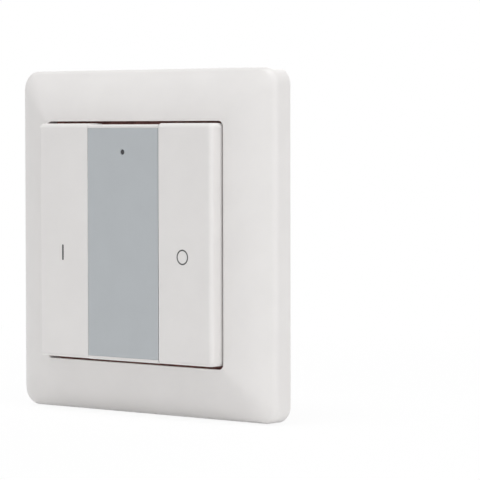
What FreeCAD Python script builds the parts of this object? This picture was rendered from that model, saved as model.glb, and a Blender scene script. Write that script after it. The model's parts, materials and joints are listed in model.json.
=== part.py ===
import FreeCAD, Part
import math
import os
import re

import Sketcher
from FreeCAD import Vector

# Wireless remote wall switch: a wall plate, a surround frame and a two-key radio module.
# X runs to the right, Z up and Y into the wall. The origin is the centre of the wall plate's
# back. A depth is a distance from the wall towards the viewer, along -Y.

# Driving sizes in millimetres
SIZES = {
    # Surround frame
    "frame_width": 80.0,
    "frame_wall": 2.0,
    "corner_round": 4.0,
    "hollow_round": 2.0,
    "bevel_drop": 4.5,
    "bevel_start": 1.0,
    "mitre_round": 7.0,
    "shoulder_round": 2.0,
    "opening": 56.0,
    "opening_round": 1.4,
    "opening_edge": 0.1,
    "opening_lip": 0.6,
    "opening_relief": 0.4,
    "collar_wall": 1.6,
    "collar_length": 3.6,
    # Dust seal behind the frame's opening
    "seal_thick": 0.55,
    "seal_inset": 0.2,
    "seal_gap": 0.3,
    # Wall plate and its screw slots
    "flange_thick": 0.8,
    "flange_inset": 1.0,
    "plate_thick": 2.0,
    "plate_gap": 0.25,
    "window": 46.0,
    "window_round": 3.0,
    "screw_spacing": 60.0,
    "slot_width": 4.2,
    "slot_length": 9.0,
    # Snap hooks that hold the module
    "hook_thick": 1.2,
    "hook_width": 6.0,
    "hook_offset": 7.0,
    "hook_gap": 0.4,
    "barb_height": 1.2,
    "barb_reach": 1.0,
    "recess_depth": 0.8,
    # Clips that hold the frame, and the ribs that they catch
    "clip_thick": 1.0,
    "clip_width": 8.0,
    "clip_offset": 20.0,
    "clip_gap": 0.8,
    "clip_reach": 0.6,
    "clip_height": 0.8,
    "rib_reach": 0.6,
    "rib_rise": 0.5,
    "rib_height": 0.9,
    # Insert: keys and centre strip
    "insert_gap": 0.5,
    "insert_proud": 3.3,
    "strip_width": 22.2,
    "panel_thick": 0.8,
    "panel_edge": 0.06,
    "border": 0.8,
    "border_round": 0.5,
    "bar_inset": 0.25,
    "bar_wall": 1.2,
    "seam": 0.15,
    "key_skin": 1.4,
    "key_wall": 1.3,
    "key_corner": 1.1,
    "key_round": 1.05,
    "seam_round": 0.15,
    "skirt_overlap": 1.7,
    "key_rib": 1.0,
    # Key pivots and catches
    "pivot_inset": 1.35,
    "pivot_rise": 1.35,
    "pin_size": 1.6,
    "pin_gap": 0.05,
    "lug_wall": 0.35,
    "lug_side": 0.55,
    "lug_width": 2.0,
    "lug_room": 0.25,
    "cheek_gap": 0.3,
    "cheek_width": 1.9,
    "catch_reach": 1.0,
    "catch_height": 0.6,
    "catch_width": 6.0,
    "catch_offset": 18.0,
    # Module case
    "chassis_gap": 0.3,
    "chassis_wall": 1.4,
    "chassis_round": 1.5,
    "deck_thick": 1.2,
    "cover_thick": 1.2,
    "bay_gap": 1.0,
    "bay_rear": 0.3,
    "bay_round": 1.0,
    "boss_inset": 3.0,
    "boss_size": 4.4,
    "boss_step": 0.8,
    "post_size": 3.5,
    "screw_size": 1.8,
    "screw_head": 3.6,
    "head_thick": 1.1,
    "head_sink": 0.3,
    "screw_grip": 3.8,
    "drive_length": 2.2,
    "drive_width": 0.5,
    # Circuit board and what stands on it
    "board_gap": 0.5,
    "board_thick": 1.0,
    "part_room": 0.7,
    "switch_place": 20.5,
    "switch_spread": 11.0,
    "switch_width": 6.0,
    "switch_height": 2.0,
    "switch_cover": 0.2,
    "switch_lead": 1.2,
    "plunger_size": 3.4,
    "plunger_flange": 4.4,
    "plunger_proud": 0.5,
    "plunger_travel": 0.3,
    "nub_size": 2.4,
    "nub_round": 0.6,
    "radio_width": 16.0,
    "radio_height": 18.0,
    "radio_thick": 0.8,
    "radio_place": 8.0,
    "shield_inset": 1.5,
    "shield_thick": 1.6,
    "antenna_room": 5.0,
    "led_place": 20.9,
    "led_thick": 0.6,
    "chip_length": 1.6,
    "chip_width": 0.8,
    "chip_thick": 0.45,
    "chip_offset": 3.5,
    "capacitor_length": 3.2,
    "capacitor_width": 2.5,
    "capacitor_thick": 1.6,
    "capacitor_place": 10.0,
    "pipe_size": 1.2,
    "pipe_flange": 2.6,
    "pipe_sunk": 0.15,
    # Coin cell and its contacts
    "cell_diameter": 24.5,
    "cell_thick": 5.0,
    "cell_gap": 0.35,
    "cell_step": 1.5,
    "cell_cap": 0.4,
    "cell_edge": 0.4,
    "sleeve_wall": 1.2,
    "lip_thick": 0.4,
    "lip_reach": 0.8,
    "lip_width": 6.0,
    "contact_room": 0.6,
    "contact_thick": 0.2,
    "contact_width": 6.0,
    "contact_foot": 2.0,
    "leaf_start": 9.0,
    "leaf_bend": 4.0,
    "leaf_touch": 3.0,
    "leaf_end": 5.0,
    # Clearances shared by several pieces
    "touch_gap": 0.05,
    "slide_gap": 0.1,
    "side_gap": 0.3,
}

# Places that follow from the driving sizes, as formulas of their names
DERIVED = {
    "insert_half": "opening/2 - insert_gap",
    "cell_rear": "bay_rear + lip_thick",
    "cell_front": "cell_rear + cell_thick",
    "board_rear": "cell_front + contact_room",
    "board_front": "board_rear + board_thick",
    "deck_rear": "board_front + part_room",
    "deck_front": "deck_rear + deck_thick",
    "pivot_depth": "deck_front + pivot_rise",
    "lug_front": "pivot_depth + pin_size/2 + pin_gap + lug_wall",
    "skin_rear": "lug_front + lug_room",
    "insert_front": "skin_rear + key_skin",
    "panel_rear": "insert_front - panel_thick",
    "frame_front": "insert_front - insert_proud",
    "shoulder": "frame_front - bevel_drop",
    "pillow_rear": "shoulder - shoulder_round",
    "bevel_centre": "opening/2 - bevel_start",
    "bevel_run": "frame_width/2 - bevel_centre",
    "bevel_radius": "(bevel_run*bevel_run + bevel_drop*bevel_drop)/(2*bevel_drop)",
    "inner_half": "frame_width/2 - frame_wall",
    "collar_half": "opening/2 + collar_wall",
    "collar_rear": "frame_front - collar_length",
    "seal_front": "collar_rear - touch_gap",
    "seal_rear": "seal_front - seal_thick",
    "cover_front": "plate_thick + cover_thick",
    "bay_half": "window/2 - bay_gap",
    "boss_place": "bay_half - boss_inset",
    "head_front": "bay_rear + head_sink + head_thick",
    "chassis_half": "insert_half - key_wall - chassis_gap",
    "room_half": "chassis_half - chassis_wall",
    "board_half": "room_half - board_gap",
    "bar_half": "insert_half - bar_inset",
    "bar_roof": "panel_rear - bar_wall",
    "barb_front": "seal_rear - side_gap",
    "barb_rear": "barb_front - barb_height",
    "hook_inner": "chassis_half + hook_gap",
    "rib_rear": "plate_thick + rib_rise",
    "rib_front": "rib_rear + rib_height",
    "clip_outer": "inner_half - clip_gap",
    "clip_rear": "rib_front + touch_gap",
    "key_inner": "strip_width/2 + seam",
    "skirt_rear": "frame_front - skirt_overlap",
    "catch_front": "skirt_rear + catch_height",
    "catch_inner": "insert_half - key_wall - catch_reach",
    "pivot_place": "key_inner + pivot_inset",
    "lug_half": "pin_size/2 + pin_gap + lug_side",
    "cheek_inner": "insert_half - key_wall - cheek_width",
    "lug_outer": "cheek_inner - cheek_gap",
    "switch_front": "board_front + switch_height",
    "plunger_front": "switch_front + switch_cover + plunger_proud",
    "cell_radius": "cell_diameter/2",
    "bore_radius": "cell_radius + cell_gap",
    "sleeve_radius": "bore_radius + sleeve_wall",
    "sleeve_front": "cell_front - side_gap",
    "post_place": "(sleeve_radius + post_size)/sqrt(2)",
    "key_turn": "plunger_travel/(switch_place - pivot_place)",
}

OVERRUN = "1"  # how far a cutting tool runs past what it cuts

doc = FreeCAD.newDocument("wireless_wall_switch")
sheet = doc.addObject("Spreadsheet::Sheet", "sizes")
for row, (alias, size) in enumerate(SIZES.items(), start=1):
    sheet.set(f"A{row}", alias)
    sheet.set(f"B{row}", str(size))
    sheet.setAlias(f"B{row}", alias)
doc.recompute()


def formula(text):
    """Write a formula of size names as an expression that reads the sheet."""
    def expand(match):
        word = match.group()
        if word in DERIVED:
            return "(" + formula(DERIVED[word]) + ")"
        if word in SIZES:
            return "sizes." + word
        return word
    return re.sub(r"[a-z]+(?:_[a-z]+)*", expand, text)


def value(text):
    """The number that a formula of size names comes to."""
    return float(sheet.evalExpression(formula(text)))


# Sketches

def new_body(label):
    return doc.addObject("PartDesign::Body", label)


def origin_part(body, role):
    return next(part for part in body.Origin.OriginFeatures if part.Role == role)


def new_sketch(body, name, role, place):
    """A sketch on one of the body's origin planes; place is (along, across, off) the plane."""
    sketch = body.newObject("Sketcher::SketchObject", name)
    sketch.AttachmentSupport = [(origin_part(body, role), "")]
    sketch.MapMode = "FlatFace"
    for axis, text in zip("xyz", place):
        sketch.setExpression("AttachmentOffset.Base." + axis, formula(text))
    return sketch


def constrain(sketch, *terms):
    return sketch.addConstraint(Sketcher.Constraint(*terms))


def dimension(sketch, text, kind, *terms):
    """A constraint whose size follows a formula."""
    index = constrain(sketch, kind, *terms, value(text))
    sketch.setExpression(f"Constraints[{index}]", formula(text))


def draw_rectangle(sketch, width, height, corner=None):
    """A rectangle about the sketch's origin, with rounded corners where corner is given."""
    half_width = value(width) / 2
    half_height = value(height) / 2
    radius = value(corner) if corner else 0.0
    turns = [(1, -1), (1, 1), (-1, 1), (-1, -1)]
    first = sketch.GeometryCount
    lines = []
    arcs = []
    for index, (side, level) in enumerate(turns):
        before = turns[index - 1]
        start = Vector(before[0] * half_width, before[1] * half_height, 0)
        end = Vector(side * half_width, level * half_height, 0)
        trim = (end - start).normalize() * radius
        lines.append(sketch.addGeometry(Part.LineSegment(start + trim, end - trim)))
        if corner:
            centre = Vector(side * (half_width - radius), level * (half_height - radius), 0)
            angle = (index - 1) * math.pi / 2
            circle = Part.Circle(centre, Vector(0, 0, 1), radius)
            arcs.append(sketch.addGeometry(Part.ArcOfCircle(circle, angle, angle + math.pi / 2)))
    for index in range(4):
        after = lines[(index + 1) % 4]
        if corner:
            constrain(sketch, "Tangent", lines[index], 2, arcs[index], 1)
            constrain(sketch, "Tangent", arcs[index], 2, after, 1)
        else:
            constrain(sketch, "Coincident", lines[index], 2, after, 1)
    for index, direction in ((0, "Horizontal"), (1, "Vertical"), (2, "Horizontal"), (3, "Vertical")):
        constrain(sketch, direction, lines[index])
    if corner:
        for arc in arcs[1:]:
            constrain(sketch, "Equal", arcs[0], arc)
        dimension(sketch, corner, "Radius", arcs[0])
        constrain(sketch, "Symmetric", arcs[0], 3, arcs[2], 3, -1, 1)
    else:
        constrain(sketch, "Symmetric", first, 1, lines[2], 1, -1, 1)
    dimension(sketch, width, "DistanceX", lines[3], 1, lines[1], 1)
    dimension(sketch, height, "DistanceY", lines[0], 1, lines[2], 1)


def draw_slot(sketch, length, width):
    """A slot along the sketch's first axis, with half-round ends."""
    radius = value(width) / 2
    reach = value(length) / 2 - radius
    top = sketch.addGeometry(Part.LineSegment(Vector(reach, radius, 0), Vector(-reach, radius, 0)))
    bottom = sketch.addGeometry(Part.LineSegment(Vector(-reach, -radius, 0), Vector(reach, -radius, 0)))
    ends = []
    for side, angle in ((-1, math.pi / 2), (1, -math.pi / 2)):
        circle = Part.Circle(Vector(side * reach, 0, 0), Vector(0, 0, 1), radius)
        ends.append(sketch.addGeometry(Part.ArcOfCircle(circle, angle, angle + math.pi)))
    left, right = ends
    for first, second in ((top, left), (left, bottom), (bottom, right), (right, top)):
        constrain(sketch, "Tangent", first, 2, second, 1)
    constrain(sketch, "Horizontal", top)
    constrain(sketch, "Symmetric", left, 3, right, 3, -1, 1)
    dimension(sketch, f"({width})/2", "Radius", left)
    dimension(sketch, f"({length}) - ({width})", "DistanceX", left, 3, right, 3)


def draw_circle(sketch, diameter):
    circle = sketch.addGeometry(Part.Circle(Vector(), Vector(0, 0, 1), value(diameter) / 2))
    constrain(sketch, "Coincident", circle, 3, -1, 1)
    dimension(sketch, diameter, "Diameter", circle)


def draw_polygon(sketch, points):
    """A closed outline whose corners each follow a pair of formulas."""
    corners = [Vector(value(along), value(across), 0) for along, across in points]
    count = len(corners)
    for index in range(count):
        sketch.addGeometry(Part.LineSegment(corners[index], corners[(index + 1) % count]))
    for index in range(count):
        constrain(sketch, "Coincident", index, 2, (index + 1) % count, 1)
    for index, (along, across) in enumerate(points):
        dimension(sketch, along, "DistanceX", -1, 1, index, 1)
        dimension(sketch, across, "DistanceY", -1, 1, index, 1)


# Features

def grow(body, sketch, length):
    """Pad a sketch along its normal."""
    feature = body.newObject("PartDesign::Pad", sketch.Name + "_pad")
    feature.Profile = sketch
    feature.setExpression("Length", formula(length))
    body.Tip = feature
    doc.recompute()
    return feature


def carve(body, sketch, length):
    """Pocket a sketch against its normal, and make sure that it removed something."""
    before = body.Tip.Shape.Volume
    feature = body.newObject("PartDesign::Pocket", sketch.Name + "_pocket")
    feature.Profile = sketch
    feature.setExpression("Length", formula(length))
    body.Tip = feature
    doc.recompute()
    if feature.Shape.Volume >= before:
        raise RuntimeError(sketch.Name + " cuts nothing")
    return feature


def add_block(body, name, width, height, rear, front, x="0", z="0", corner=None):
    sketch = new_sketch(body, name, "XZ_Plane", (x, z, rear))
    draw_rectangle(sketch, width, height, corner)
    return grow(body, sketch, f"({front}) - ({rear})")


def cut_block(body, name, width, height, rear, front, x="0", z="0", corner=None):
    sketch = new_sketch(body, name, "XZ_Plane", (x, z, front))
    draw_rectangle(sketch, width, height, corner)
    return carve(body, sketch, f"({front}) - ({rear})")


def add_round(body, name, diameter, rear, front, x="0", z="0"):
    sketch = new_sketch(body, name, "XZ_Plane", (x, z, rear))
    draw_circle(sketch, diameter)
    return grow(body, sketch, f"({front}) - ({rear})")


def cut_round(body, name, diameter, rear, front, x="0", z="0"):
    sketch = new_sketch(body, name, "XZ_Plane", (x, z, front))
    draw_circle(sketch, diameter)
    return carve(body, sketch, f"({front}) - ({rear})")


def add_section(body, name, points, low, high):
    """Pad an outline of (x, depth) corners upwards from one height to another."""
    sketch = new_sketch(body, name, "XY_Plane", ("0", "0", low))
    draw_polygon(sketch, [(x, f"-({depth})") for x, depth in points])
    return grow(body, sketch, f"({high}) - ({low})")


def repeat_around(body, name, features, count):
    """Copies of features about the axis that runs out of the wall."""
    pattern = body.newObject("PartDesign::PolarPattern", name)
    pattern.Originals = features
    pattern.Axis = (origin_part(body, "Y_Axis"), [""])
    pattern.Angle = 360
    pattern.Occurrences = count
    body.Tip = pattern
    doc.recompute()


def edge_points(edge):
    span = edge.LastParameter - edge.FirstParameter
    return [edge.valueAt(edge.FirstParameter + span * share) for share in (0.0, 0.25, 0.5, 0.75, 1.0)]


def round_edges(body, name, radius, test):
    """Fillet every edge whose points all pass a test."""
    base = body.Tip
    names = []
    for index, edge in enumerate(base.Shape.Edges, start=1):
        if all(test(point) for point in edge_points(edge)):
            names.append(f"Edge{index}")
    feature = body.newObject("PartDesign::Fillet", name)
    feature.Base = (base, names)
    feature.setExpression("Radius", formula(radius))
    body.Tip = feature
    doc.recompute()


def near(number, text):
    return abs(number - value(text)) < 1e-4


# Plain solids for the pieces on the circuit board

def box(label, width, height, rear, front, x="0", z="0"):
    solid = doc.addObject("Part::Box", label)
    solid.setExpression("Length", formula(width))
    solid.setExpression("Width", formula(f"({front}) - ({rear})"))
    solid.setExpression("Height", formula(height))
    solid.setExpression("Placement.Base.x", formula(f"{x} - ({width})/2"))
    solid.setExpression("Placement.Base.y", formula(f"-({front})"))
    solid.setExpression("Placement.Base.z", formula(f"{z} - ({height})/2"))
    return solid


def rod(label, diameter, rear, front, x="0", z="0"):
    solid = doc.addObject("Part::Cylinder", label)
    solid.Placement = FreeCAD.Placement(Vector(), FreeCAD.Rotation(Vector(1, 0, 0), 90))
    solid.setExpression("Radius", formula(f"({diameter})/2"))
    solid.setExpression("Height", formula(f"({front}) - ({rear})"))
    solid.setExpression("Placement.Base.x", formula(x))
    solid.setExpression("Placement.Base.y", formula(f"-({rear})"))
    solid.setExpression("Placement.Base.z", formula(z))
    return solid


def fuse(label, base, tool):
    joined = doc.addObject("Part::Fuse", label)
    joined.Base = base
    joined.Tool = tool
    return joined


def cut(label, base, tool):
    rest = doc.addObject("Part::Cut", label)
    rest.Base = base
    rest.Tool = tool
    return rest


def group(label, solids):
    compound = doc.addObject("Part::Compound", label)
    compound.Links = solids
    return compound


# Surround frame

def bevelled_block(body, name, half, side_half, rear, front, radius, corner=None):
    """A square block whose four front sides curve down from the opening to the outer wall."""
    add_block(body, name, f"2*({side_half})", f"2*({side_half})", rear, front, corner=corner)
    side = f"{side_half} + {OVERRUN}"
    low = f"({rear}) - {OVERRUN}"
    top = f"({front}) + {OVERRUN}"
    sketch = new_sketch(body, name + "_bevel", "XY_Plane", ("0", "0", side))
    start = value(half)
    centre_y = value(f"({radius}) - ({front})")
    size = value(radius)
    end_angle = math.asin((-value(low) - centre_y) / size)
    circle = Part.Circle(Vector(start, centre_y, 0), Vector(0, 0, 1), size)
    arc = sketch.addGeometry(Part.ArcOfCircle(circle, -math.pi / 2, end_angle))
    crest = Vector(start, -value(front), 0)
    foot = Vector(start + size * math.cos(end_angle), -value(low), 0)
    outer = Vector(value(side), -value(low), 0)
    upper = Vector(value(side), -value(top), 0)
    inner = Vector(start, -value(top), 0)
    corners = [foot, outer, upper, inner, crest]
    lines = []
    for first, second in zip(corners, corners[1:]):
        lines.append(sketch.addGeometry(Part.LineSegment(first, second)))
    constrain(sketch, "Coincident", arc, 2, lines[0], 1)
    for first, second in zip(lines, lines[1:]):
        constrain(sketch, "Coincident", first, 2, second, 1)
    constrain(sketch, "Coincident", lines[3], 2, arc, 1)
    for line, direction in zip(lines, ("Horizontal", "Vertical", "Horizontal", "Vertical")):
        constrain(sketch, direction, line)
    dimension(sketch, radius, "Radius", arc)
    dimension(sketch, half, "DistanceX", -1, 1, arc, 3)
    dimension(sketch, f"({radius}) - ({front})", "DistanceY", -1, 1, arc, 3)
    dimension(sketch, half, "DistanceX", -1, 1, arc, 1)
    dimension(sketch, f"-({low})", "DistanceY", -1, 1, arc, 2)
    dimension(sketch, side, "DistanceX", -1, 1, lines[1], 1)
    dimension(sketch, f"-({top})", "DistanceY", -1, 1, lines[2], 1)
    bevel = carve(body, sketch, f"2*({side})")
    repeat_around(body, name + "_bevels", [bevel], 4)


def on_outline(point, width, corner):
    """Whether a point is over the outline of a rounded square."""
    radius = value(corner)
    straight = value(width) / 2 - radius
    across = abs(point.x) - straight
    up = abs(point.z) - straight
    distance = math.hypot(across, up) if across > 0 and up > 0 else max(across, up)
    return abs(distance - radius) < 1e-3


def surround_frame():
    outer = new_body("frame_outer")
    bevelled_block(outer, "pillow", "bevel_centre", "frame_width/2 + bevel_drop + shoulder_round",
                   "pillow_rear", "frame_front", "bevel_radius")
    cut_block(outer, "first_opening", "opening - bevel_start", "opening - bevel_start",
              f"pillow_rear - {OVERRUN}", f"frame_front + {OVERRUN}", corner="opening_round")
    round_edges(outer, "mitres", "mitre_round",
                lambda point: abs(abs(point.x) - abs(point.z)) < 1e-4)
    trim = new_sketch(outer, "frame_outline", "XZ_Plane", ("0", "0", f"frame_front + {OVERRUN}"))
    draw_rectangle(trim, "2*frame_width", "2*frame_width")
    draw_rectangle(trim, "frame_width", "frame_width", "corner_round")
    carve(outer, trim, f"frame_front - pillow_rear + 2*{OVERRUN}")
    add_block(outer, "frame_rim", "frame_width", "frame_width", "flange_thick", "pillow_rear",
              corner="corner_round")
    round_edges(outer, "shoulder_edge", "shoulder_round",
                lambda point: on_outline(point, "frame_width", "corner_round")
                and -point.y > value("pillow_rear + shoulder_round/4"))
    cut_block(outer, "frame_opening", "opening", "opening", "0", f"frame_front + {OVERRUN}",
              corner="opening_round")
    round_edges(outer, "opening_rim", "opening_edge",
                lambda point: on_outline(point, "opening", "opening_round")
                and -point.y > value("frame_front - opening_edge"))
    cut_block(outer, "relief", "opening + 2*opening_relief", "opening + 2*opening_relief", "0",
              "frame_front - opening_lip", corner="opening_round + opening_relief")

    cavity = new_body("frame_cavity")
    bevelled_block(cavity, "hollow", "bevel_centre", "inner_half", f"flange_thick - {OVERRUN}",
                   "frame_front - frame_wall", "bevel_radius - frame_wall", corner="hollow_round")
    cut_block(cavity, "collar", "2*collar_half", "2*collar_half", "collar_rear", "frame_front",
              corner="opening_round + collar_wall")
    rib = cut_block(cavity, "rib", f"rib_reach + {OVERRUN}", "clip_width", "rib_rear", "rib_front",
                    x=f"inner_half - rib_reach/2 + {OVERRUN}/2", z="clip_offset")
    repeat_around(cavity, "ribs", [rib], 4)
    return cut("surround_frame", outer, cavity)


def dust_seal():
    """A thin ring that closes the gap between the frame's collar and the module."""
    body = new_body("dust_seal")
    add_block(body, "seal_sheet", "2*(collar_half - seal_inset)", "2*(collar_half - seal_inset)",
              "seal_rear", "seal_front", corner="opening_round + collar_wall - seal_inset")
    cut_block(body, "seal_hole", "2*(chassis_half + seal_gap)", "2*(chassis_half + seal_gap)",
              f"seal_rear - {OVERRUN}", f"seal_front + {OVERRUN}", corner="chassis_round + seal_gap")
    return body


# Wall plate

def wall_plate():
    body = new_body("wall_plate")
    add_block(body, "flange", "frame_width - 2*flange_inset", "frame_width - 2*flange_inset",
              "0", "flange_thick", corner="corner_round - flange_inset")
    add_block(body, "step", "2*(inner_half - plate_gap)", "2*(inner_half - plate_gap)",
              "flange_thick", "plate_thick", corner="hollow_round")
    cut_block(body, "plate_window", "window", "window", f"-{OVERRUN}", f"plate_thick + {OVERRUN}",
              corner="window_round")
    slot = new_sketch(body, "screw_slot", "XZ_Plane", ("screw_spacing/2", "0", f"plate_thick + {OVERRUN}"))
    draw_slot(slot, "slot_length", "slot_width")
    repeat_around(body, "screw_slots", [carve(body, slot, f"plate_thick + 2*{OVERRUN}")], 4)
    hook_outer = "hook_inner + hook_thick"
    hook_tip = "hook_inner - barb_reach"
    hook = add_section(body, "hook", [
        ("hook_inner", "plate_thick"), (hook_outer, "plate_thick"), (hook_outer, "barb_front"),
        ("hook_inner", "barb_front"), (hook_tip, "barb_rear + barb_height/3"),
        (hook_tip, "barb_rear"), ("hook_inner", "barb_rear"),
    ], "hook_offset - hook_width/2", "hook_offset + hook_width/2")
    repeat_around(body, "hooks", [hook], 4)
    clip_inner = "clip_outer - clip_thick"
    clip_tip = "clip_outer + clip_reach"
    clip = add_section(body, "clip", [
        (clip_inner, "plate_thick"), ("clip_outer", "plate_thick"), ("clip_outer", "clip_rear"),
        (clip_tip, "clip_rear"), (clip_tip, "clip_rear + clip_height/3"),
        ("clip_outer", "clip_rear + clip_height"), (clip_inner, "clip_rear + clip_height"),
    ], "clip_offset - clip_width/2", "clip_offset + clip_width/2")
    repeat_around(body, "clips", [clip], 4)
    return body


# Module case

def corner_places(place):
    """The four places of a pattern that is square about the centre."""
    return [(f"{across}({place})", f"{up}({place})") for across in ("", "-") for up in ("", "-")]


def module_chassis():
    body = new_body("module_chassis")
    add_block(body, "case", "2*chassis_half", "2*chassis_half", "cover_front", "deck_front",
              corner="chassis_round")
    add_block(body, "bar", "strip_width", "2*bar_half", "deck_rear", "panel_rear")
    for side in ("", "-"):
        name = "border_low" if side else "border_high"
        add_block(body, name, "strip_width", "border", "panel_rear", "insert_front",
                  z=f"{side}(bar_half - border/2)")
    round_edges(body, "border_edges", "border_round",
                lambda point: near(-point.y, "insert_front") and near(abs(point.z), "bar_half"))
    cut_block(body, "room", "2*room_half", "2*room_half", f"cover_front - {OVERRUN}", "deck_rear",
              corner="chassis_round/2")
    cut_block(body, "bar_room", "strip_width - 2*bar_wall", "2*room_half", f"deck_rear - {OVERRUN}",
              "bar_roof")
    cut_round(body, "pipe_hole", "pipe_size + 2*touch_gap", f"bar_roof - {OVERRUN}",
              f"panel_rear + {OVERRUN}", z="led_place")
    for index, (x, z) in enumerate(corner_places("boss_place")):
        add_round(body, f"boss_step_{index}", "boss_size + 2*boss_step", "board_front",
                  "deck_rear + deck_thick/2", x, z)
        add_round(body, f"boss_{index}", "boss_size", "cover_front", "board_front + part_room/2", x, z)
        cut_round(body, f"pilot_{index}", "screw_size + 2*touch_gap", f"cover_front - {OVERRUN}",
                  "cover_front + screw_grip + side_gap", x, z)
    for across in ("", "-"):
        hand = "left" if across else "right"
        for up in ("", "-"):
            level = "lower" if up else "upper"
            cut_block(body, f"{hand}_{level}_switch_hole", "switch_width + 2*side_gap",
                      "switch_width + 2*side_gap", f"deck_rear - {OVERRUN}", f"deck_front + {OVERRUN}",
                      x=f"{across}switch_place", z=f"{up}switch_spread")
            add_block(body, f"{hand}_{level}_lug", "pivot_place + lug_half - strip_width/2 + bar_wall/2",
                      "lug_width", "deck_front - deck_thick/2", "lug_front",
                      x=f"{across}(pivot_place + lug_half + strip_width/2 - bar_wall/2)/2",
                      z=f"{up}(lug_outer - lug_width/2)")
            bearing = new_sketch(body, f"{hand}_{level}_bearing", "XY_Plane",
                                 (f"{across}pivot_place", "-pivot_depth",
                                  f"{up}(lug_outer - lug_width/2) + lug_width/2 + side_gap/2"))
            draw_circle(bearing, "pin_size + 2*pin_gap")
            carve(body, bearing, "lug_width + side_gap")
            cut_block(body, f"{hand}_{level}_catch_slot",
                      f"chassis_half - catch_inner + slide_gap*2 + {OVERRUN}", "catch_width + 2*side_gap",
                      "skirt_rear - key_turn*(insert_half - pivot_place) - side_gap",
                      "catch_front + touch_gap",
                      x=f"{across}(chassis_half + catch_inner - slide_gap*2 + {OVERRUN})/2",
                      z=f"{up}catch_offset")
    recess = cut_block(body, "hook_recess", f"recess_depth + {OVERRUN}", "hook_width + 2*side_gap",
                       "barb_rear - slide_gap", "barb_front + side_gap",
                       x=f"chassis_half - recess_depth/2 + {OVERRUN}/2", z="hook_offset")
    repeat_around(body, "hook_recesses", [recess], 4)
    return body


def rear_cover():
    body = new_body("rear_cover")
    add_block(body, "cover_flange", "2*chassis_half", "2*chassis_half", "plate_thick", "cover_front",
              corner="chassis_round")
    add_block(body, "bay", "2*bay_half", "2*bay_half", "bay_rear", "plate_thick",
              corner="window_round - bay_gap")
    cut_block(body, "bay_room", "2*(bay_half - cover_thick)", "2*(bay_half - cover_thick)",
              "bay_rear + cover_thick", f"cover_front + {OVERRUN}", corner="bay_round")
    add_round(body, "sleeve", "2*sleeve_radius", "bay_rear", "sleeve_front")
    post = add_round(body, "post", "post_size", "bay_rear + cover_thick/2", "board_rear",
                     "post_place", "post_place")
    repeat_around(body, "posts", [post], 4)
    cut_round(body, "cell_bore", "2*bore_radius", f"bay_rear - {OVERRUN}", f"sleeve_front + {OVERRUN}")
    lip = add_block(body, "lip", "cell_gap + lip_reach + sleeve_wall/2", "lip_width", "bay_rear",
                    "cell_rear", x="-(bore_radius - (cell_gap + lip_reach - sleeve_wall/2)/2)")
    repeat_around(body, "lips", [lip], 3)
    cut_block(body, "contact_slot", "sleeve_wall + 2*cell_gap + side_gap", "contact_width + 2*side_gap",
              "bay_rear + cover_thick", f"sleeve_front + {OVERRUN}",
              x="bore_radius + sleeve_wall/2")
    for index, (x, z) in enumerate(corner_places("boss_place")):
        add_round(body, f"cover_boss_{index}", "boss_size", "bay_rear", "cover_front", x, z)
        cut_round(body, f"cover_hole_{index}", "screw_size + 2*slide_gap", f"bay_rear - {OVERRUN}",
                  f"cover_front + {OVERRUN}", x, z)
        cut_round(body, f"head_sink_{index}", "screw_head + 2*slide_gap", f"bay_rear - {OVERRUN}",
                  "head_front", x, z)
    return body


def case_screws():
    screws = []
    for index, (x, z) in enumerate(corner_places("boss_place")):
        head = rod(f"screw_head_{index}", "screw_head", "head_front - head_thick", "head_front", x, z)
        shank = rod(f"screw_shank_{index}", "screw_size", "head_front", "cover_front + screw_grip", x, z)
        blank = fuse(f"screw_blank_{index}", head, shank)
        drive = []
        for turn, sizes in enumerate((("drive_length", "drive_width"), ("drive_width", "drive_length"))):
            drive.append(box(f"screw_drive_{index}_{turn}", *sizes, f"head_front - head_thick - {OVERRUN}",
                             "head_front - head_thick/2", x, z))
        screws.append(cut(f"case_screw_{index}", blank, fuse(f"screw_cross_{index}", *drive)))
    return group("case_screws", screws)


# Keys

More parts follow.
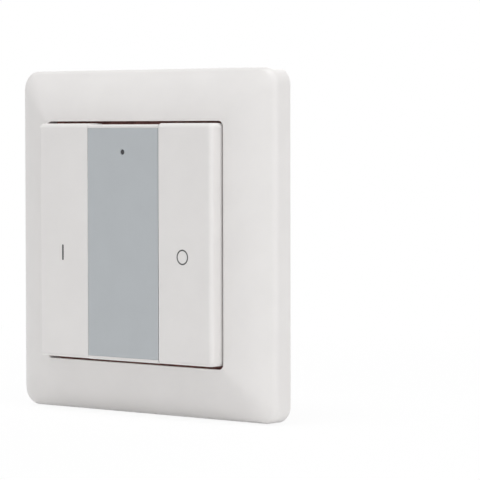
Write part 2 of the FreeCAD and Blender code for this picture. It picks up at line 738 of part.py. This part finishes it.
def key(label, across):
    """A key, to the left of the strip where across is a minus sign. Its foot is level with the bar's."""
    body = new_body(label)
    add_block(body, label + "_block", "insert_half - key_inner", "insert_half + bar_half",
              "skirt_rear", "insert_front", x=f"{across}(key_inner + insert_half)/2",
              z="(insert_half - bar_half)/2")

    def at_end(point):
        return near(point.z, "insert_half") or near(-point.z, "bar_half")

    round_edges(body, label + "_corners", "key_corner",
                lambda point: near(abs(point.x), "insert_half") and at_end(point))
    round_edges(body, label + "_front_edge", "key_round",
                lambda point: near(-point.y, "insert_front")
                and (at_end(point) or not near(abs(point.x), "key_inner")))
    round_edges(body, label + "_seam_edge", "seam_round",
                lambda point: near(-point.y, "insert_front") and near(abs(point.x), "key_inner"))
    cut_block(body, label + "_hollow", f"insert_half - key_wall - key_inner + {OVERRUN}",
              "2*(insert_half - key_wall)", f"skirt_rear - {OVERRUN}", "skin_rear",
              x=f"{across}(key_inner - {OVERRUN} + insert_half - key_wall)/2")
    add_block(body, label + "_long_rib", "key_rib", "2*(insert_half - key_wall) + key_rib",
              "skin_rear - key_rib", "skin_rear + key_skin/2", x=f"{across}(pivot_place + switch_place)/2")
    for up in ("", "-"):
        level = "lower" if up else "upper"
        add_block(body, f"{label}_{level}_cheek", "2*pivot_inset", "cheek_width + key_wall/2",
                  "pivot_depth - pin_size/2", "skin_rear + key_skin/2", x=f"{across}pivot_place",
                  z=f"{up}(cheek_inner + (cheek_width + key_wall/2)/2)")
        pin_length = "(cheek_gap + lug_width + cheek_width/2)"
        pin_middle = f"{up}(cheek_inner + cheek_width/2 - {pin_length}/2)"
        pin = new_sketch(body, f"{label}_{level}_pin", "XY_Plane",
                         (f"{across}pivot_place", "-pivot_depth", f"{pin_middle} - {pin_length}/2"))
        draw_circle(pin, "pin_size")
        grow(body, pin, pin_length)
        add_round(body, f"{label}_{level}_nub", "nub_size", "plunger_front + touch_gap",
                  "skin_rear + key_skin/2", x=f"{across}switch_place", z=f"{up}switch_spread")
        add_block(body, f"{label}_{level}_cross_rib", "insert_half - key_wall - switch_place + key_rib",
                  "key_rib", "skin_rear - key_rib", "skin_rear + key_skin/2",
                  x=f"{across}(insert_half - key_wall + switch_place + key_rib)/2",
                  z=f"{up}switch_spread")
        add_block(body, f"{label}_{level}_catch", "catch_reach + key_wall/2", "catch_width",
                  "skirt_rear", "catch_front", x=f"{across}(catch_inner + (catch_reach + key_wall/2)/2)",
                  z=f"{up}catch_offset")
    round_edges(body, label + "_nub_ends", "nub_round",
                lambda point: near(-point.y, "plunger_front + touch_gap"))
    return body


# Strip between the keys

def centre_panel():
    body = new_body("centre_panel")
    add_block(body, "panel", "strip_width", "2*(bar_half - border - touch_gap)", "panel_rear",
              "insert_front")
    cut_round(body, "panel_hole", "pipe_size + 2*touch_gap", f"panel_rear - {OVERRUN}",
              f"insert_front + {OVERRUN}", z="led_place")
    round_edges(body, "panel_edges", "panel_edge",
                lambda point: near(-point.y, "insert_front") and near(abs(point.x), "strip_width/2"))
    return body


def light_pipe():
    stem = rod("pipe_stem", "pipe_size", "board_front + led_thick + slide_gap", "insert_front - pipe_sunk",
               z="led_place")
    flange = rod("pipe_collar", "pipe_flange", "bar_roof - pipe_size/2", "bar_roof", z="led_place")
    return fuse("light_pipe", stem, flange)


# Circuit board

def circuit_board():
    body = new_body("circuit_board")
    add_block(body, "board", "2*board_half", "2*board_half", "board_rear", "board_front",
              corner="chassis_round")
    for index, (x, z) in enumerate(corner_places("boss_place")):
        cut_round(body, f"board_hole_{index}", "boss_size + 2*slide_gap", f"board_rear - {OVERRUN}",
                  f"board_front + {OVERRUN}", x, z)
    return body


def push_switch(name, x, z):
    """The four pieces of a push switch: body, terminals, cover and plunger."""
    shell = box(name + "_shell", "switch_width", "switch_width", "board_front", "switch_front", x, z)
    bore = rod(name + "_bore", "plunger_flange + 2*slide_gap", "board_front + switch_height/4",
               f"switch_front + {OVERRUN}", x, z)
    body = cut(name + "_body", shell, bore)
    leads = []
    for index, (side, end) in enumerate((("+", "+"), ("+", "-"), ("-", "+"), ("-", "-"))):
        leads.append(box(f"{name}_lead_{index}", "switch_lead/2", "switch_lead", "board_front",
                         "board_front + switch_cover", f"{x} {side} switch_width/3",
                         f"{z} {end} (switch_width + switch_lead)/2"))
    terminals = group(name + "_terminals", leads)
    plate = box(name + "_plate", "switch_width", "switch_width", "switch_front",
                "switch_front + switch_cover", x, z)
    hole = rod(name + "_hole", "plunger_size + 2*slide_gap", f"switch_front - {OVERRUN}",
               f"switch_front + {OVERRUN}", x, z)
    cover = cut(name + "_cover", plate, hole)
    stem = rod(name + "_stem", "plunger_size", "switch_front - switch_height/3", "plunger_front", x, z)
    flange = rod(name + "_flange", "plunger_flange", "switch_front - switch_height/3",
                 "switch_front - slide_gap", x, z)
    plunger = fuse(name + "_plunger", stem, flange)
    return [body, terminals, cover, plunger]


def board_pieces():
    radio = box("radio_board", "radio_width", "radio_height", "board_front", "board_front + radio_thick",
                z="-radio_place")
    shield = box("radio_shield", "radio_width - 2*shield_inset",
                 "radio_height - shield_inset - antenna_room", "board_front + radio_thick",
                 "board_front + radio_thick + shield_thick",
                 z="-radio_place + (antenna_room - shield_inset)/2")
    led = box("status_led", "chip_length", "chip_width", "board_front", "board_front + led_thick",
              z="led_place")
    resistor = box("led_resistor", "chip_length", "chip_width", "board_front", "board_front + chip_thick",
                   "chip_offset", "led_place")
    capacitor = box("bulk_capacitor", "capacitor_length", "capacitor_width", "board_front",
                    "board_front + capacitor_thick", z="capacitor_place")
    return [radio, shield, led, resistor, capacitor]


# Coin cell and its contacts

def coin_cell():
    body = new_body("coin_cell")
    add_round(body, "can", "cell_diameter", "cell_rear", "cell_front - cell_cap")
    round_edges(body, "can_edges", "cell_edge", lambda point: near(-point.y, "cell_rear"))
    add_round(body, "cap", "cell_diameter - 2*cell_step", "cell_front - cell_cap", "cell_front")
    return body


def positive_contact():
    body = new_body("battery_positive_contact")
    inner = "cell_radius + touch_gap"
    outer = "cell_radius + touch_gap + contact_thick"
    foot_end = "sleeve_radius + contact_foot"
    foot_rear = "board_rear - contact_thick"
    add_section(body, "side_spring", [
        (inner, "cell_rear + cell_thick/4"), (outer, "cell_rear + cell_thick/4"), (outer, foot_rear),
        (foot_end, foot_rear), (foot_end, "board_rear"), (inner, "board_rear"),
    ], "-contact_width/2", "contact_width/2")
    return body


def negative_contact():
    body = new_body("battery_negative_contact")
    sketch = new_sketch(body, "leaf", "YZ_Plane", ("0", "0", "-contact_width/2"))
    draw_polygon(sketch, [
        ("-board_rear", "-leaf_start"), ("-board_rear", "-leaf_bend"),
        ("-(cell_front + contact_thick)", "leaf_touch"), ("-(cell_front + contact_thick)", "leaf_end"),
        ("-cell_front", "leaf_end"), ("-cell_front", "leaf_touch"),
        ("-(board_rear - contact_thick)", "-leaf_bend"), ("-(board_rear - contact_thick)", "-leaf_start"),
    ])
    grow(body, sketch, "contact_width")
    return body


# Every sub-part, in the order in which they are put together

subparts = [
    wall_plate(),
    surround_frame(),
    dust_seal(),
    module_chassis(),
    rear_cover(),
    case_screws(),
    key("on_key", "-"),
    key("off_key", ""),
    centre_panel(),
    light_pipe(),
    circuit_board(),
]
subparts += board_pieces()
for key_name, across in (("on", "-"), ("off", "")):
    for level, up in (("upper", ""), ("lower", "-")):
        subparts += push_switch(f"{key_name}_switch_{level}", f"{across}switch_place", f"{up}switch_spread")
subparts += [coin_cell(), positive_contact(), negative_contact()]

doc.recompute()
for item in doc.Objects:
    if "Invalid" in item.State or "Error" in item.State:
        raise RuntimeError(f"{item.Label} failed: {item.State}")
for part in subparts:
    if part.Shape.isNull() or not part.Shape.isValid() or not part.Shape.Solids:
        raise RuntimeError(f"{part.Label} is not a sound solid")

os.makedirs("parts", exist_ok=True)
for part in subparts:
    part.Shape.exportStep(f"parts/{part.Label}.step")
    print(part.Label, len(part.Shape.Solids), round(part.Shape.Volume, 2))
print("key turn in degrees", round(math.degrees(value("key_turn")), 3))
print("pivot place and depth", value("pivot_place"), value("pivot_depth"))
print("depth over all", value("insert_front"), "frame front", value("frame_front"))
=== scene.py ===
import json
import math

import bmesh
import bpy
from mathutils import Matrix, Vector


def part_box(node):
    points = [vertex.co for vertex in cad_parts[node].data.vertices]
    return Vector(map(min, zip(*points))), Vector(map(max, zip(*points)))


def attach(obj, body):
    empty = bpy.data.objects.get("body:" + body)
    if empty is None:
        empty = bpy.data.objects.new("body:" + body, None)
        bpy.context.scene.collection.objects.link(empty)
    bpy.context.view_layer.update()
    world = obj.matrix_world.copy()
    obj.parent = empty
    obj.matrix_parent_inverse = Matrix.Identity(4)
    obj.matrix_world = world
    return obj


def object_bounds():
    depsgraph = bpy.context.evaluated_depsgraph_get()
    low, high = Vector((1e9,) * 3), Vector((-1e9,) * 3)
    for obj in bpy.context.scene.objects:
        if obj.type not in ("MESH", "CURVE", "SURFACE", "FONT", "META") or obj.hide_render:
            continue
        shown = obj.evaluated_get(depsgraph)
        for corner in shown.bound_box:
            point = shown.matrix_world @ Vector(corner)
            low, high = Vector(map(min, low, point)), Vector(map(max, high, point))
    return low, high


# Looks of the wireless remote wall switch. X runs to the right, Z up and Y into the wall, in metres.

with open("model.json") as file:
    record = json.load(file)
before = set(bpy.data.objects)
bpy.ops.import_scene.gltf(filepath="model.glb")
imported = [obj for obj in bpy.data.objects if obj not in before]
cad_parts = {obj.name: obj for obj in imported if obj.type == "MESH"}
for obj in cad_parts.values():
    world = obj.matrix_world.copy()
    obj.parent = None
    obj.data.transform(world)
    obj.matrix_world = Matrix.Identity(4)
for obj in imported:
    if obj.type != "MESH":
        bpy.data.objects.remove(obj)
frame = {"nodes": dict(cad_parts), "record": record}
cad_box = [list(corner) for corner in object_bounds()]
nodes = frame["nodes"]
slot_of = {part["node"]: part["material_slot"] for part in frame["record"]["subparts"]}

MM = 0.001

# Camera of the three-quarter view: angles in degrees, the lens and the sensor in millimetres
CAMERA_DISTANCE = 0.6696
CAMERA_AZIMUTH = 43.02
CAMERA_ELEVATION = 2.228
CAMERA_ROLL = -0.091
CAMERA_PAN = 1.552
CAMERA_TILT = 0.0205
CAMERA_LENS = 215.05
CAMERA_SENSOR = 36.0
CAMERA_CLIP_START = 0.01

# Light: each soft box has the direction that it stands in and its power in watts
WHITE_LIGHT = (1.0, 1.0, 1.0, 1.0)
AMBIENT = 0.355
SOFT_BOX_DISTANCE = 1.2
SOFT_BOX_SIZE = 0.9
SOFT_BOXES = {
    "top_box": (Vector((0.05, -0.25, 0.95)), 8.05),
    "side_box": (Vector((0.95, -0.15, 0.25)), 3.95),
    "front_box": (Vector((0.20, -0.95, 0.15)), 0.98),
    "rear_box": (Vector((-0.35, 0.85, 0.35)), 3.0),
}

# Floor, whose own shade and shadow fade to plain white between two distances from the switch
FLOOR_DROP = 0.2 * MM
FLOOR_HALF = 4.0
FLOOR_BOUNCE = (0.95, 0.95, 0.95)
FLOOR_WHITE_NEAR = 0.9
FLOOR_FADE_FROM = 0.05
FLOOR_FADE_TO = 0.30

# Printed marks on the keys and on the coin cell
PRINT_PROUD = 0.012 * MM
PRINT_SUNK = 0.02 * MM
BAR_CENTRE = (-19.37 * MM, -2.64 * MM)
BAR_WIDTH = 0.50 * MM
BAR_HEIGHT = 3.7 * MM
RING_CENTRE = (18.67 * MM, -2.79 * MM)
RING_OUTER = 1.75 * MM
RING_LINE = 0.32 * MM
PLUS_ARM = 2.2 * MM
PLUS_WIDTH = 0.9 * MM
ARC_STEPS = 48
QUARTER_TURNS = 4

# Colours
WHITE = (0.82, 0.802, 0.791)
PANEL_GREY = (0.486, 0.514, 0.535)
SEAL_BROWN = (0.54, 0.24, 0.21)
SMOKED_GREY = (0.045, 0.045, 0.05)
ZINC = (0.62, 0.62, 0.64)
TIN = (0.66, 0.65, 0.62)
LED_CREAM = (0.75, 0.72, 0.55)
PLASTIC_BLACK = (0.02, 0.02, 0.022)
CAPACITOR_TAN = (0.33, 0.22, 0.11)
PLUNGER_BLACK = (0.05, 0.05, 0.05)
CELL_STEEL = (0.58, 0.58, 0.57)
SPRING_BRASS = (0.75, 0.62, 0.38)
PRINT_GREY = (0.060, 0.062, 0.062)
SOLDER_MASK = (0.012, 0.11, 0.045)
MASK_OVER_COPPER = (0.03, 0.19, 0.07)

# Range that most of a noise lies in, and the narrower range that a change of shade takes
NOISE_LOW = 0.3
NOISE_HIGH = 0.7
SHADE_LOW = 0.35
SHADE_HIGH = 0.65

# Moulded plastic
PLASTIC_GRAIN_DETAIL = 2.0
PLASTIC_ROUGHNESS_DRIFT = 0.03

# Lines in sheet metal
LINE_MM = 2.0
LINE_DEPTH_MM = 0.001
LINE_DARK = 0.9
LINE_BRIGHT = 1.05
METAL_ROUGHNESS_DRIFT = 0.06
ALONG_X = (1.0, 30.0, 30.0)
ALONG_Z = (30.0, 30.0, 1.0)

# Circuit boards
TRACK_SCALE = 250.0
TRACK_WIDTH = 0.035
TRACK_SOFTNESS = 0.2
TRACK_RISE_MM = 0.03
TRACK_EDGES = (0.2, 0.8)
BOARD_GRAIN_MM = 1.5
BOARD_ROUGHNESS = (0.28, 0.4)


# Materials

def new_material(name):
    material = bpy.data.materials.new(name)
    material.use_nodes = True
    return material, material.node_tree, material.node_tree.nodes["Principled BSDF"]


def noise(tree, feature_mm, stretch=(1.0, 1.0, 1.0), detail=3.0):
    """Noise in the piece's own coordinates, with features of about that many millimetres."""
    place = tree.nodes.new("ShaderNodeTexCoord")
    mapping = tree.nodes.new("ShaderNodeMapping")
    mapping.inputs["Scale"].default_value = stretch
    texture = tree.nodes.new("ShaderNodeTexNoise")
    texture.inputs["Scale"].default_value = 1.0 / (feature_mm * MM)
    texture.inputs["Detail"].default_value = detail
    tree.links.new(place.outputs["Object"], mapping.inputs["Vector"])
    tree.links.new(mapping.outputs["Vector"], texture.inputs["Vector"])
    return texture.outputs["Fac"]


def ramp(tree, value, stops):
    """A change of colour along a value, between two stops of (place, colour)."""
    node = tree.nodes.new("ShaderNodeValToRGB")
    for element, (place, colour) in zip(node.color_ramp.elements, stops):
        element.position = place
        element.color = (*colour, 1.0)
    tree.links.new(value, node.inputs["Fac"])
    return node.outputs["Color"]


def spread(tree, value, low, high):
    """A noise's middle range spread over low to high."""
    node = tree.nodes.new("ShaderNodeMapRange")
    node.inputs["From Min"].default_value = NOISE_LOW
    node.inputs["From Max"].default_value = NOISE_HIGH
    node.inputs["To Min"].default_value = low
    node.inputs["To Max"].default_value = high
    tree.links.new(value, node.inputs["Value"])
    return node.outputs["Result"]


def bump(tree, value, depth_mm, shader):
    node = tree.nodes.new("ShaderNodeBump")
    node.inputs["Strength"].default_value = 1.0
    node.inputs["Distance"].default_value = depth_mm * MM
    tree.links.new(value, node.inputs["Height"])
    tree.links.new(node.outputs["Normal"], shader.inputs["Normal"])


def tint(colour, factor):
    return tuple(channel * factor for channel in colour)


def moulded(name, colour, roughness, patch_mm=9.0, drift=0.012, grain_mm=0.25, grain_depth_mm=0.002):
    """Moulded plastic: a soft drift of tone and a fine spark-eroded grain."""
    material, tree, shader = new_material(name)
    patches = noise(tree, patch_mm)
    grain = noise(tree, grain_mm, detail=PLASTIC_GRAIN_DETAIL)
    shades = [(SHADE_LOW, tint(colour, 1.0 - drift)), (SHADE_HIGH, tint(colour, 1.0 + drift))]
    smoothest = roughness - PLASTIC_ROUGHNESS_DRIFT
    roughest = roughness + PLASTIC_ROUGHNESS_DRIFT
    tree.links.new(ramp(tree, patches, shades), shader.inputs["Base Color"])
    tree.links.new(spread(tree, patches, smoothest, roughest), shader.inputs["Roughness"])
    bump(tree, grain, grain_depth_mm, shader)
    return material


def brushed(name, colour, roughness, stretch=ALONG_X):
    """Sheet metal with fine lines along one axis."""
    material, tree, shader = new_material(name)
    shader.inputs["Metallic"].default_value = 1.0
    lines = noise(tree, LINE_MM, stretch)
    shades = [(SHADE_LOW, tint(colour, LINE_DARK)), (SHADE_HIGH, tint(colour, LINE_BRIGHT))]
    smoothest = roughness - METAL_ROUGHNESS_DRIFT
    roughest = roughness + METAL_ROUGHNESS_DRIFT
    tree.links.new(ramp(tree, lines, shades), shader.inputs["Base Color"])
    tree.links.new(spread(tree, lines, smoothest, roughest), shader.inputs["Roughness"])
    bump(tree, lines, LINE_DEPTH_MM, shader)
    return material


def laminate(name):
    """Circuit board: green solder mask over the raised lines of the copper below it."""
    material, tree, shader = new_material(name)
    place = tree.nodes.new("ShaderNodeTexCoord")
    upright = tree.nodes.new("ShaderNodeMapping")
    upright.inputs["Rotation"].default_value = (math.pi / 2, 0.0, 0.0)
    tracks = tree.nodes.new("ShaderNodeTexBrick")
    tracks.inputs["Scale"].default_value = TRACK_SCALE
    tracks.inputs["Mortar Size"].default_value = TRACK_WIDTH
    tracks.inputs["Mortar Smooth"].default_value = TRACK_SOFTNESS
    tree.links.new(place.outputs["Object"], upright.inputs["Vector"])
    tree.links.new(upright.outputs["Vector"], tracks.inputs["Vector"])
    shades = zip(TRACK_EDGES, (SOLDER_MASK, MASK_OVER_COPPER))
    tree.links.new(ramp(tree, tracks.outputs["Fac"], shades), shader.inputs["Base Color"])
    grain = noise(tree, BOARD_GRAIN_MM)
    tree.links.new(spread(tree, grain, *BOARD_ROUGHNESS), shader.inputs["Roughness"])
    bump(tree, tracks.outputs["Fac"], TRACK_RISE_MM, shader)
    return material


finishes = {
    "white_plastic": moulded("white_plastic_look", WHITE, roughness=0.40),
    "grey_panel": moulded("grey_panel_look", PANEL_GREY, roughness=0.46, patch_mm=6.0, grain_mm=0.18),
    "seal_rubber": moulded("seal_rubber_look", SEAL_BROWN, roughness=0.75, patch_mm=1.5, drift=0.2,
                           grain_mm=0.15),
    "smoked_lens": moulded("smoked_lens_look", SMOKED_GREY, roughness=0.16, patch_mm=0.8, drift=0.2,
                           grain_depth_mm=0.0004),
    "zinc_steel": brushed("zinc_steel_look", ZINC, roughness=0.3),
    "board": laminate("board_look"),
    "tinned_steel": brushed("tinned_steel_look", TIN, roughness=0.32),
    "led_white": moulded("led_white_look", LED_CREAM, roughness=0.2, patch_mm=0.5, drift=0.08),
    "black_plastic": moulded("black_plastic_look", PLASTIC_BLACK, roughness=0.42, patch_mm=2.0, drift=0.15),
    "capacitor_tan": moulded("capacitor_tan_look", CAPACITOR_TAN, roughness=0.5, patch_mm=0.6, drift=0.12),
    "plunger_plastic": moulded("plunger_plastic_look", PLUNGER_BLACK, roughness=0.35, patch_mm=1.0,
                               drift=0.15),
    "cell_metal": brushed("cell_metal_look", CELL_STEEL, roughness=0.26),
    "spring_contact": brushed("spring_contact_look", SPRING_BRASS, roughness=0.3, stretch=ALONG_Z),
}
for name, node in nodes.items():
    node.data.materials.clear()
    node.data.materials.append(finishes[slot_of[name]])


# Printed marks

def ring_points(centre, radius):
    """Points round a circle on the XZ plane."""
    turns = [2 * math.pi * step / ARC_STEPS for step in range(ARC_STEPS)]
    return [(centre[0] + radius * math.cos(turn), centre[1] + radius * math.sin(turn)) for turn in turns]


def bar_points(centre, width, height):
    """Points round an upright bar with half-round ends."""
    radius = width / 2
    reach = height / 2 - radius
    points = []
    for step in range(ARC_STEPS):
        turn = 2 * math.pi * (step + 0.5) / ARC_STEPS
        end = reach if math.sin(turn) > 0 else -reach
        points.append((centre[0] + radius * math.cos(turn), centre[1] + end + radius * math.sin(turn)))
    return points


def plus_points(arm, width):
    """Points round a plus sign about the origin."""
    half = width / 2
    points = []
    for turns in range(QUARTER_TURNS):
        for x, z in ((half, half), (half, arm), (-half, arm)):
            for _ in range(turns):
                x, z = -z, x
            points.append((x, z))
    return points


def print_layer(name, face_y, outer, inner=None, facing=-1):
    """A thin layer of ink on a face, between closed outlines of (x, z) points; facing is the way along Y."""
    mesh = bmesh.new()
    front_y = face_y + facing * PRINT_PROUD
    rear_y = face_y - facing * PRINT_SUNK
    rings = [outer] if inner is None else [outer, inner]
    fronts = [[mesh.verts.new((x, front_y, z)) for x, z in ring] for ring in rings]
    rears = [[mesh.verts.new((x, rear_y, z)) for x, z in ring] for ring in rings]
    count = len(outer)
    for front, rear in zip(fronts, rears):
        for step in range(count):
            after = (step + 1) % count
            mesh.faces.new((front[step], front[after], rear[after], rear[step]))
    for layer in (fronts, rears):
        if inner is None:
            mesh.faces.new(layer[0])
        else:
            for step in range(count):
                after = (step + 1) % count
                mesh.faces.new((layer[0][step], layer[0][after], layer[1][after], layer[1][step]))
    bmesh.ops.recalc_face_normals(mesh, faces=mesh.faces)
    data = bpy.data.meshes.new(name)
    mesh.to_mesh(data)
    mesh.free()
    piece = bpy.data.objects.new(name, data)
    bpy.context.scene.collection.objects.link(piece)
    return piece


ink = moulded("print_look", PRINT_GREY, roughness=0.5, patch_mm=0.6, drift=0.15, grain_mm=0.05,
              grain_depth_mm=0.001)
key_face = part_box("on_key")[0].y

on_mark = print_layer("on_mark", key_face, bar_points(BAR_CENTRE, BAR_WIDTH, BAR_HEIGHT))
off_mark = print_layer("off_mark", key_face, ring_points(RING_CENTRE, RING_OUTER),
                       ring_points(RING_CENTRE, RING_OUTER - RING_LINE))
cell_mark = print_layer("cell_mark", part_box("coin_cell")[1].y, plus_points(PLUS_ARM, PLUS_WIDTH), facing=1)
for mark, body in ((on_mark, "on_key"), (off_mark, "off_key"), (cell_mark, "base")):
    mark.data.materials.append(ink)
    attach(mark, body)


# Floor, world, lights and camera

def seen(tree):
    """1 where the camera, a reflection or a view through glass sees a surface, and 0 for other light."""
    path = tree.nodes.new("ShaderNodeLightPath")
    result = path.outputs["Is Camera Ray"]
    for name in ("Is Glossy Ray", "Is Transmission Ray"):
        either = tree.nodes.new("ShaderNodeMath")
        either.operation = "MAXIMUM"
        tree.links.new(result, either.inputs[0])
        tree.links.new(path.outputs[name], either.inputs[1])
        result = either.outputs["Value"]
    return result


def whitened(tree, own, share):
    """A surface or background mixed with plain white by a share."""
    white = tree.nodes.new("ShaderNodeEmission")
    white.inputs["Color"].default_value = WHITE_LIGHT
    white.inputs["Strength"].default_value = 1.0
    mix = tree.nodes.new("ShaderNodeMixShader")
    tree.links.new(share, mix.inputs["Fac"])
    tree.links.new(own, mix.inputs[1])
    tree.links.new(white.outputs["Emission"], mix.inputs[2])
    return mix.outputs["Shader"]


def fade_with_distance(tree):
    """The floor's share of plain white, which rises to all of it away from the switch."""
    place = tree.nodes.new("ShaderNodeTexCoord")
    distance = tree.nodes.new("ShaderNodeVectorMath")
    distance.operation = "LENGTH"
    fade = tree.nodes.new("ShaderNodeMapRange")
    fade.interpolation_type = "SMOOTHSTEP"
    fade.inputs["From Min"].default_value = FLOOR_FADE_FROM
    fade.inputs["From Max"].default_value = FLOOR_FADE_TO
    fade.inputs["To Min"].default_value = FLOOR_WHITE_NEAR
    fade.inputs["To Max"].default_value = 1.0
    tree.links.new(place.outputs["Object"], distance.inputs[0])
    tree.links.new(distance.outputs["Value"], fade.inputs["Value"])
    return fade.outputs["Result"]


def add_floor():
    """The plain pale floor under the switch: it keeps the shadow and is seen as white further away."""
    mesh = bmesh.new()
    corners = [(-1, -1), (1, -1), (1, 1), (-1, 1)]
    mesh.faces.new([mesh.verts.new((x * FLOOR_HALF, y * FLOOR_HALF, 0.0)) for x, y in corners])
    data = bpy.data.meshes.new("floor")
    mesh.to_mesh(data)
    mesh.free()
    floor = bpy.data.objects.new("floor", data)
    floor.location.z = cad_box[0][2] - FLOOR_DROP
    bpy.context.scene.collection.objects.link(floor)
    material, tree, shader = new_material("floor_look")
    shader.inputs["Roughness"].default_value = 1.0
    shader.inputs["Specular IOR Level"].default_value = 0.0
    direct = seen(tree)
    shades = [(0.0, FLOOR_BOUNCE), (1.0, WHITE_LIGHT[:3])]
    tree.links.new(ramp(tree, direct, shades), shader.inputs["Base Color"])
    share = tree.nodes.new("ShaderNodeMath")
    share.operation = "MULTIPLY"
    tree.links.new(direct, share.inputs[0])
    tree.links.new(fade_with_distance(tree), share.inputs[1])
    surface = whitened(tree, shader.outputs["BSDF"], share.outputs["Value"])
    tree.links.new(surface, tree.nodes["Material Output"].inputs["Surface"])
    data.materials.append(material)


def light_world():
    """Soft even light from all round, seen as plain white."""
    world = bpy.data.worlds.new("studio")
    bpy.context.scene.world = world
    world.use_nodes = True
    tree = world.node_tree
    ambient = tree.nodes["Background"]
    ambient.inputs["Color"].default_value = WHITE_LIGHT
    ambient.inputs["Strength"].default_value = AMBIENT
    background = whitened(tree, ambient.outputs["Background"], seen(tree))
    tree.links.new(background, tree.nodes["World Output"].inputs["Surface"])


def add_soft_box(name, source, power):
    data = bpy.data.lights.new(name, "AREA")
    data.shape = "DISK"
    data.size = SOFT_BOX_SIZE
    data.energy = power
    light = bpy.data.objects.new(name, data)
    light.location = source.normalized() * SOFT_BOX_DISTANCE
    light.rotation_euler = source.to_track_quat("Z", "Y").to_euler()
    bpy.context.scene.collection.objects.link(light)


def add_camera():
    azimuth = math.radians(CAMERA_AZIMUTH)
    elevation = math.radians(CAMERA_ELEVATION)
    level = math.cos(elevation)
    back = Vector((math.sin(azimuth) * level, -math.cos(azimuth) * level, math.sin(elevation)))
    right = back.cross(Vector((0, 0, -1))).normalized()
    up = back.cross(right)
    aim = -back + math.tan(math.radians(CAMERA_PAN)) * right + math.tan(math.radians(CAMERA_TILT)) * up
    aim.normalize()
    right = aim.cross(Vector((0, 0, 1))).normalized()
    up = right.cross(aim)
    turn = Matrix((right, up, -aim)).transposed().to_4x4()
    roll = Matrix.Rotation(math.radians(CAMERA_ROLL), 4, "Z")
    data = bpy.data.cameras.new("camera")
    data.lens = CAMERA_LENS
    data.sensor_width = CAMERA_SENSOR
    data.clip_start = CAMERA_CLIP_START
    camera = bpy.data.objects.new("camera", data)
    camera.matrix_world = Matrix.Translation(back * CAMERA_DISTANCE) @ turn @ roll
    bpy.context.scene.collection.objects.link(camera)
    bpy.context.scene.camera = camera


add_floor()
light_world()
for name, (source, power) in SOFT_BOXES.items():
    add_soft_box(name, source, power)
add_camera()
bpy.context.scene.view_settings.view_transform = "Standard"
